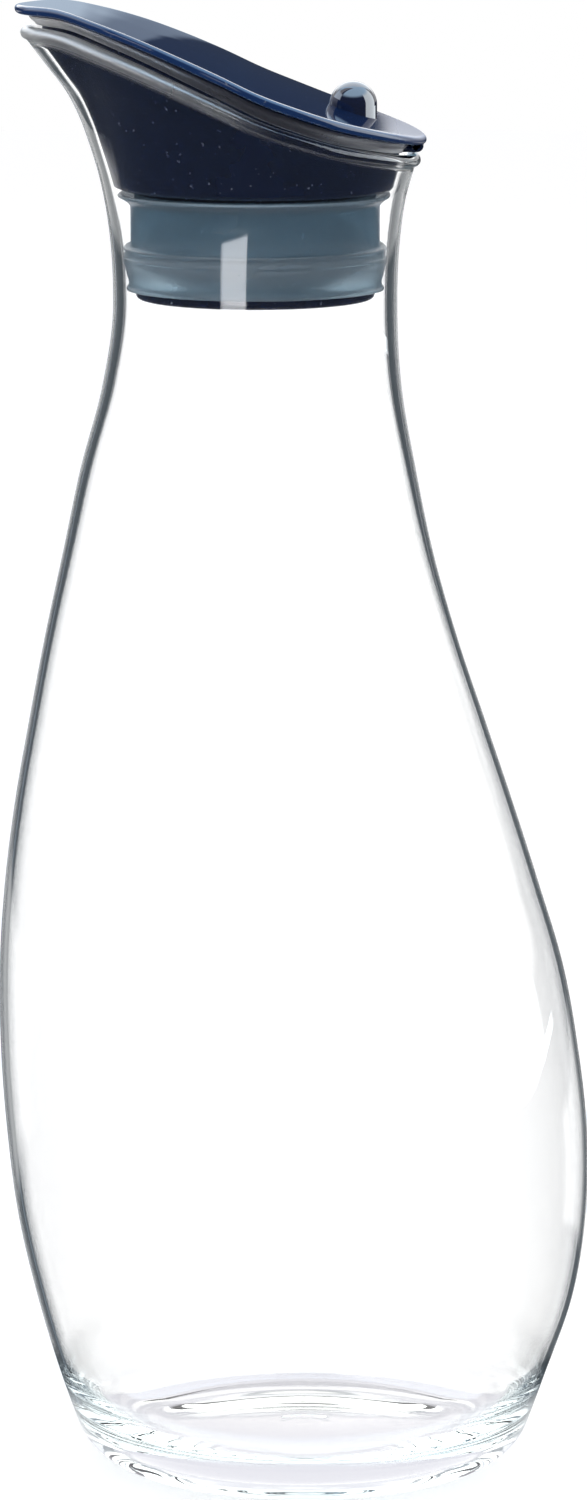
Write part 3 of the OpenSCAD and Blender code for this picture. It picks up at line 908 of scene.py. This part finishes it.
# %% The pin's steel
steel, steel_shader, _ = new_material("pin_steel_brushed")
steel_shader.inputs["Metallic"].default_value = 1
steel_place = add(steel, "TexCoord").outputs["Object"]
stretch = add(steel, "Mapping", {"Vector": steel_place, "Scale": (1, 60, 1)})
brushed = add(steel, "TexNoise", {"Vector": stretch.outputs["Vector"], "Scale": 90})
steel_tone = colour_mix(brushed.outputs["Fac"], (0.5, 0.51, 0.53, 1), (0.72, 0.73, 0.75, 1), steel)
steel_rough = add(steel, "MapRange", {"Value": brushed.outputs["Fac"], "To Min": 0.18,
                                      "To Max": 0.38})
steel.node_tree.links.new(steel_tone, steel_shader.inputs["Base Color"])
steel.node_tree.links.new(steel_rough.outputs["Result"], steel_shader.inputs["Roughness"])
dress(frame["nodes"]["hinge_pin"], steel)
print("brushed steel on the hinge pin")

# %% [markdown]
# ## The table
#
# Glass is photographed on a white table in front of a white wall. The table is a large disc
# that belongs to the stage and not to the carafe. The camera sees it lit, with the carafe's
# soft shadow. A faint glow of its own keeps it white without any more light on the carafe.

# %% A white table
TABLE_R, TABLE_DROP = 3.0, 0.0002
table_mesh = bpy.data.meshes.new("table_top")
table_points = [(TABLE_R * math.cos(a), TABLE_R * math.sin(a), -TABLE_DROP) for a in angles]
table_mesh.from_pydata(table_points, [], [tuple(range(AROUND))])
table_top = bpy.data.objects.new("table_top", table_mesh)
bpy.context.scene.collection.objects.link(table_top)
table_top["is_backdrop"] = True

white, white_shader, white_out = new_material("white_table")
white_shader.inputs["Base Color"].default_value = (0.8, 0.8, 0.8, 1)
white_shader.inputs["Roughness"].default_value = 0.9
white_shader.inputs["Specular IOR Level"].default_value = 0
white_shader.inputs["Emission Color"].default_value = (1, 1, 1, 1)
white_shader.inputs["Emission Strength"].default_value = 0.3
dress(table_top, white)
print(f"table {2 * TABLE_R:.0f} m across")

# %% [markdown]
# A ray that was bent by the glass sees the table another way, and a Light Path node tells such
# a ray from the camera's own. Right under the foot such a ray sees a painted shadow: a soft
# lilac grey glow that stands in for the carafe's shadow on the table, and gives the floor of
# the carafe its tone. Close round the foot it is white for light that was caught in the glass
# and came out low. Further out such rays pass the table by, and see the room as the next cells
# paint it, so that the dark lines at the glass edges run all the way down to the foot.

# %% The table as bent rays see it
# Under the foot, bent rays see a painted shadow: a lilac grey glow within this radius.
PAINTED_SHADOW_R, PAINTED_SHADOW_SOFT = 0.046, 0.001
NEAR_R, NEAR_SOFT = 0.066, 0.016
PAINTED_SHADOW_TONE, NEAR_TONE = (0.8, 0.79, 0.85, 1), (0.95, 0.95, 0.97, 1)

table_path = add(white, "LightPath")
bent = calc("MAXIMUM", table_path.outputs["Is Transmission Ray"],
            table_path.outputs["Is Glossy Ray"], white)
table_spot = add(white, "TexCoord").outputs["Object"]
from_foot = add(white, "VectorMath", {0: table_spot, 1: (-foot_x * MM, 0, 0)})
away = add(white, "VectorMath", {0: from_foot.outputs[0]}, operation="LENGTH").outputs["Value"]
past_painted_shadow = add(white, "MapRange", {"Value": away, "From Min": PAINTED_SHADOW_R - PAINTED_SHADOW_SOFT,
                                    "From Max": PAINTED_SHADOW_R + PAINTED_SHADOW_SOFT}).outputs["Result"]
past_near = add(white, "MapRange", {"Value": away, "From Min": NEAR_R - NEAR_SOFT,
                                    "From Max": NEAR_R}).outputs["Result"]
straight = calc("LESS_THAN", table_path.outputs["Glossy Depth"], 0.5, white)
letting = calc("MAXIMUM", calc("MULTIPLY", past_painted_shadow, straight, white), past_near, white)
# Painted shadow under the foot, and white further out.
bent_tone = colour_mix(past_painted_shadow, PAINTED_SHADOW_TONE, NEAR_TONE, white)
bent_glow = add(white, "Emission", {"Color": bent_tone})
passed = add(white, "BsdfTransparent")
under = add(white, "MixShader", {0: letting, 1: bent_glow.outputs["Emission"],
                                 2: passed.outputs["BSDF"]})
seen = add(white, "MixShader", {0: bent, 1: white_shader.outputs["BSDF"],
                                2: under.outputs["Shader"]})
white.node_tree.links.new(seen.outputs["Shader"], white_out.inputs["Surface"])
print(f"bent rays see {1000 * NEAR_R:.0f} mm of table round the foot")

# %% [markdown]
# ## The room
#
# The room is painted into the world, as bright and dark patches. A direction in it is given
# by its heading, the degrees right of straight behind the carafe, and by how far it rises
# above the horizon. A few helpers turn such patches into masks with soft ends.

# %% Directions and patches
world = bpy.data.worlds.new("white_room")
bpy.context.scene.world = world
world.use_nodes = True
background = world.node_tree.nodes["Background"]
turned = math.radians


def height(degrees):
    """The Z of a direction that many degrees above the horizon."""
    return math.sin(math.radians(degrees))


def between(value, low, high, soft):
    """1 where the value lies between two limits, with soft ends."""
    return calc("MULTIPLY", smooth_step(value, low - soft, low + soft),
                smooth_step(value, high + soft, high - soft))


def patch(rises, rise_soft, headings, heading_soft):
    """A patch of the room in degrees. Only rise_soft is a difference in Z, as rise is a Z."""
    return calc("MULTIPLY", between(rise, height(rises[0]), height(rises[1]), rise_soft),
                between(heading, *map(turned, headings), turned(heading_soft)))


def within(full, none):
    """1 within so many degrees of straight behind or straight in front, fading to 0."""
    return smooth_step(facing, math.cos(turned(none)), math.cos(turned(full)))


look = add(world, "TexCoord").outputs["Generated"]
axes = add(world, "SeparateXYZ", {"Vector": look})
rise = axes.outputs["Z"]
heading = calc("ARCTAN2", axes.outputs["X"], axes.outputs["Y"])
facing = calc("COSINE", heading)
print("the room is ready to paint")

# %% [markdown]
# A glass on white disappears unless something dark stands beside it: a photographer puts dark
# cards to the left and right of the white wall, and the edges of the glass, which bend light
# sideways, pick them up as crisp dark lines. The world does the same. Through the glass it is
# white straight behind the carafe and dark in two cards beside that. Further round, paler
# cards repeat, so that the glass keeps its edges from other sides too. Low down it is all
# bright, and turns lilac towards the table.

# %% The room seen through the glass
LIT, GLARE = 1.24, 1.9
CARD_REPEATS = 8
behind = within(19, 22)
main_cards = within(38, 40)
card_wave = calc("COSINE", calc("MULTIPLY", heading, float(CARD_REPEATS)))
other_walls = calc("MULTIPLY", smooth_step(card_wave, -0.45, 0.1),
                   calc("SUBTRACT", 1.0, main_cards))
bright_wall = calc("MAXIMUM", other_walls, behind)
bright_wall = calc("MAXIMUM", bright_wall, smooth_step(rise, height(-20), height(-22)))
card_tone = colour_mix(main_cards, (0.2, 0.21, 0.23, 1), (0.03, 0.027, 0.03, 1))
glare = colour_mix(smooth_step(facing, math.cos(turned(2)), math.cos(turned(9))),
                   (LIT, LIT, LIT, 1), (GLARE, GLARE, GLARE, 1))
through = colour_mix(bright_wall, card_tone, glare)
through = colour_mix(smooth_step(rise, height(14), height(24)), through, (0.95, 0.95, 0.95, 1))
through = colour_mix(smooth_step(rise, height(-24), height(-40)), through,
                     (0.84, 0.83, 0.88, 1))
print("the room seen through the glass: white wall, dark cards")

# %% [markdown]
# Some light is caught inside a wall of the glass and guided round it before it comes out. On
# the neck and the belly it leaves sideways, past the white wall, and makes the dark line at the
# very edge. Light that was guided for longer finds a paler grey there. In the thick rim and
# the heel it leaves steeply up or down, and finds pale surroundings.

# %% The room that guided light finds
ray = add(world, "LightPath")
often = calc("GREATER_THAN", ray.outputs["Glossy Depth"], 1.5)
past_wall = colour_mix(often, (0.05, 0.062, 0.07, 1), (0.24, 0.27, 0.3, 1))
guided = colour_mix(within(8, 11), past_wall, (LIT, LIT, LIT, 1))
level = between(rise, height(-26), height(4), 0.03)
guided = colour_mix(level, (0.5, 0.52, 0.54, 1), guided)
guided = colour_mix(smooth_step(rise, height(6), height(16)), guided, (2.2, 2.15, 2.0, 1))
print("the room for guided light: dark sideways, pale above and below")

# %% [markdown]
# A reflection doesn't see the same room as the glass lets through. Low behind the carafe
# stands a pale wall with a dark doorway in it. At the lid's grazing angle both are mirrored in
# its top: the pale wall towards the spout and at the tail, the doorway in the middle. Both
# sides of the doorway lean, because the lid twists from spout to tail.

# %% The low wall and its doorway
climb = calc("ARCSINE", rise)
door_left = calc("ADD", turned(1.15), calc("MULTIPLY", climb, 0.22))
door_right = calc("ADD", turned(2.2), calc("MULTIPLY", climb, 0.38))
high_part = calc("MAXIMUM", calc("SUBTRACT", climb, turned(3.7)), 0.0)
door_right = calc("ADD", door_right, calc("MULTIPLY", high_part, 0.8))
past_left = smooth_step(calc("SUBTRACT", heading, door_left), turned(-0.12), turned(0.12))
past_right = smooth_step(calc("SUBTRACT", heading, door_right), turned(-0.04), turned(0.16))
pale_left = colour_mix(smooth_step(heading, turned(0.4), turned(1.2)), (0.6, 0.72, 0.86, 1),
                       (0.22, 0.27, 0.35, 1))
low_wall = colour_mix(past_left, pale_left, (0.035, 0.045, 0.07, 1))
low_wall = colour_mix(past_right, low_wall, (0.95, 0.96, 1.0, 1))
edge_gap = calc("MULTIPLY", smooth_step(rise, height(3), height(1)),
                between(facing, math.cos(turned(25)), math.cos(turned(7)), 0.004))
low_wall = colour_mix(edge_gap, low_wall, (0.06, 0.07, 0.08, 1))
through_count = ray.outputs["Transmission Depth"]
from_inside = calc("GREATER_THAN", through_count, 0.5)
low_wall = colour_mix(from_inside, low_wall, (0.9, 0.9, 0.92, 1))
wall_near = calc("MULTIPLY", within(20, 30), smooth_step(rise, height(24), height(15)))
mirrored = colour_mix(wall_near, (0.05, 0.055, 0.065, 1), low_wall)
upward = calc("MULTIPLY", from_inside, smooth_step(rise, height(7), height(13)))
mirrored = colour_mix(upward, mirrored, (0.9, 0.89, 0.9, 1))
print("low wall and doorway painted")

# %% [markdown]
# The glass mirrors the room at its sides as well. There it is white, above the height of the
# neck and again low down, so that the dark edge lines stay thin. In between it stays dark,
# where the neck and the stopper would mirror it, and that darkness is what makes the navy
# look deep.

# %% White sides for the glass
sideways = between(facing, math.cos(turned(95)), math.cos(turned(22)), 0.03)
above_neck = smooth_step(rise, height(0), height(2))
below_neck = calc("MULTIPLY", between(rise, height(-16.5), height(-8.6), 0.01), within(42, 52))
left_gap = patch((-2, 11), 0.01, (-55, -16), 3)
white_sides = calc("MULTIPLY", sideways, calc("MAXIMUM", above_neck, below_neck))
white_sides = calc("MULTIPLY", white_sides, calc("SUBTRACT", 1.0, left_gap))
white_sides = calc("MULTIPLY", white_sides, calc("LESS_THAN", through_count, 2.5))
mirrored = colour_mix(white_sides, mirrored, (1.0, 1.0, 1.0, 1))
print("white sides painted")

# %% [markdown]
# The lights of the room come last, over everything else. A pale upper wall draws the bright
# line along the lid's near edge. A large window to the right and a small one to the left light
# the sides of the knob, and a bright ceiling its cap. A narrow softbox to the left of the
# camera makes the long reflection that stands on the neck. Most of these are only for a ray
# that was reflected straight away, before it ever entered the glass.

# %% Windows, ceiling and softboxes
one_bounce = calc("SUBTRACT", 1.0, often)
first_hit = calc("MULTIPLY", calc("LESS_THAN", through_count, 0.5), one_bounce)


def hang(under_it, mask, colour):
    """One more light in the room, over what is there already."""
    return colour_mix(mask, under_it, (*colour, 1))


upper_wall = calc("MULTIPLY", between(rise, height(10), height(34), 0.02), within(24, 36))
left_lamp = patch((13.9, 42.8), 0.05, (-105, -55), 5)
window = calc("MAXIMUM", patch((-5.1, 54), 0.0015, (56, 117), 2),
              patch((-5.15, -4.3), 0.001, (46, 60), 2))
small_window = patch((-5.1, 8), 0.003, (-126, -102), 1)
for mask, colour in ((upper_wall, (3.2, 3.25, 3.3)), (left_lamp, (2.2, 2.5, 2.9)),
                     (window, (4.0, 4.3, 4.5)), (small_window, (4.2, 4.0, 4.1))):
    mirrored = hang(mirrored, calc("MULTIPLY", first_hit, mask), colour)

side_gap = between(heading, turned(-108), turned(-62), turned(5))
ceiling = calc("MULTIPLY", smooth_step(rise, height(34), height(52)),
               calc("SUBTRACT", 1.0, side_gap))
back_box = calc("MULTIPLY", between(rise, height(26), height(75), 0.05), within(40, 50))
front = calc("ARCTAN2", calc("MULTIPLY", axes.outputs["X"], -1.0),
             calc("MULTIPLY", axes.outputs["Y"], -1.0))
strip_foot = calc("ADD", rise, calc("MULTIPLY", front, -0.13))
strip_box = calc("MULTIPLY", between(front, turned(7.5), turned(28), turned(0.8)),
                 calc("MULTIPLY", between(strip_foot, -0.31, 0.5, 0.008),
                      smooth_step(rise, height(-5.1), height(-5.5))))
for mask, colour in ((ceiling, (2.0, 2.8, 3.6)), (back_box, (2.8, 3.1, 3.4)),
                     (strip_box, (5.5, 5.6, 5.8))):
    mirrored = hang(mirrored, mask, colour)
print("the room in reflections: low wall, doorway, windows, ceiling, softboxes")

# %% [markdown]
# The world tells the cases apart by the ray's own history. A ray that was reflected before it
# ever entered the glass, or on the stopper behind two surfaces, sees the mirrored room. One
# that was reflected inside the glass sees what guided light finds. The camera itself sees
# plain white, and everything else is lit by an even white.

# %% Which ray sees which room
EVEN_WHITE = (0.85, 0.85, 0.86, 1)
behind_wall = between(through_count, 3.5, 4.5, 0.1)
outward = calc("MULTIPLY", calc("LESS_THAN", through_count, 2.5),
               calc("SUBTRACT", 1.0, within(40, 44)))
plain_mirror = calc("MAXIMUM", calc("MAXIMUM", behind_wall, outward), first_hit)
plain_mirror = calc("MULTIPLY", plain_mirror, one_bounce)
plain_mirror = calc("MAXIMUM", plain_mirror, calc("LESS_THAN", through_count, 0.5))
bounced = calc("GREATER_THAN", ray.outputs["Glossy Depth"], 0.5)
tone = colour_mix(ray.outputs["Is Transmission Ray"], EVEN_WHITE, through)
tone = colour_mix(bounced, tone, colour_mix(plain_mirror, guided, mirrored))
tone = colour_mix(ray.outputs["Is Diffuse Ray"], tone, EVEN_WHITE)
tone = colour_mix(ray.outputs["Is Camera Ray"], tone, (1, 1, 1, 1))
world.node_tree.links.new(tone, background.inputs["Color"])
print(f"the world has {len(world.node_tree.nodes)} nodes")

# %% [markdown]
# ## A lamp
#
# The room gives most of the light. One broad area lamp hangs over the carafe, a little in
# front and to the left, and gives the table its soft shadow.

# %% Softbox
def softbox(name, place, target, width, depth, power):
    """An area lamp that faces a target."""
    lamp = bpy.data.lights.new(name, "AREA")
    lamp.shape, lamp.size, lamp.size_y, lamp.energy = "RECTANGLE", width, depth, power
    holder = bpy.data.objects.new(name, lamp)
    bpy.context.scene.collection.objects.link(holder)
    holder.location = place
    from_target = holder.location - type(holder.location)(target)
    holder.rotation_euler = from_target.to_track_quat("Z", "Y").to_euler()
    return holder


top_box = softbox("top_softbox", (-0.5, -0.5, 1.7), (0, 0, 0.15), 1.2, 1.2, 9)
top_box.visible_glossy = False
print("softbox over the carafe")

# %% [markdown]
# ## The camera
#
# The photograph was taken from far away with a long lens, a little above the carafe. The lens
# and the height follow from the ellipses of the rim and the base: the further away the camera,
# the more alike they are. The picture is 587 by 1500, so the sensor's long side stands upright.

# %% Camera
camera_data = bpy.data.cameras.new("photo_camera")
camera_data.sensor_width = 36.0
camera_data.lens = 161.28
camera = bpy.data.objects.new("photo_camera", camera_data)
bpy.context.scene.collection.objects.link(camera)
camera_down = math.radians(10.34)
camera.location = (-0.00013, -1.3092, 0.3817)
camera.rotation_euler = (math.pi / 2 - camera_down, 0, 0)
bpy.context.scene.camera = camera
print(f"camera {-camera.location.y:.3f} m away, looking {math.degrees(camera_down):.1f} down")

# %% [markdown]
# ## Render settings that belong to glass
#
# A ray needs many steps to get through two walls, the floor and the seals behind them, so the
# number of bounces goes up. Light that is guided round inside the wall counts as glossy at
# every turn, so the glossy bounces go up as well, or the floor would show black arcs. The
# Standard view keeps white white.

# %% Bounces and view
scene = bpy.context.scene
scene.view_settings.view_transform = "Standard"
scene.cycles.max_bounces = 28
scene.cycles.transmission_bounces = 28
scene.cycles.glossy_bounces = 28
scene.cycles.transparent_max_bounces = 24
scene.cycles.use_denoising = True
print("a ray may bounce", scene.cycles.max_bounces, "times")

# %% [markdown]
# ## The size
#
# The dressed model has to keep the CAD model's size. Both boxes are printed, so that they can
# be compared.

# %% Sizes and the last line
dressed_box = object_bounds()
for label, corners in (("CAD", cad_box), ("dressed", dressed_box)):
    spans = [1000 * (high - low) for low, high in zip(*corners)]
    print(label, "box in mm:", ", ".join(f"{span:.2f}" for span in spans))
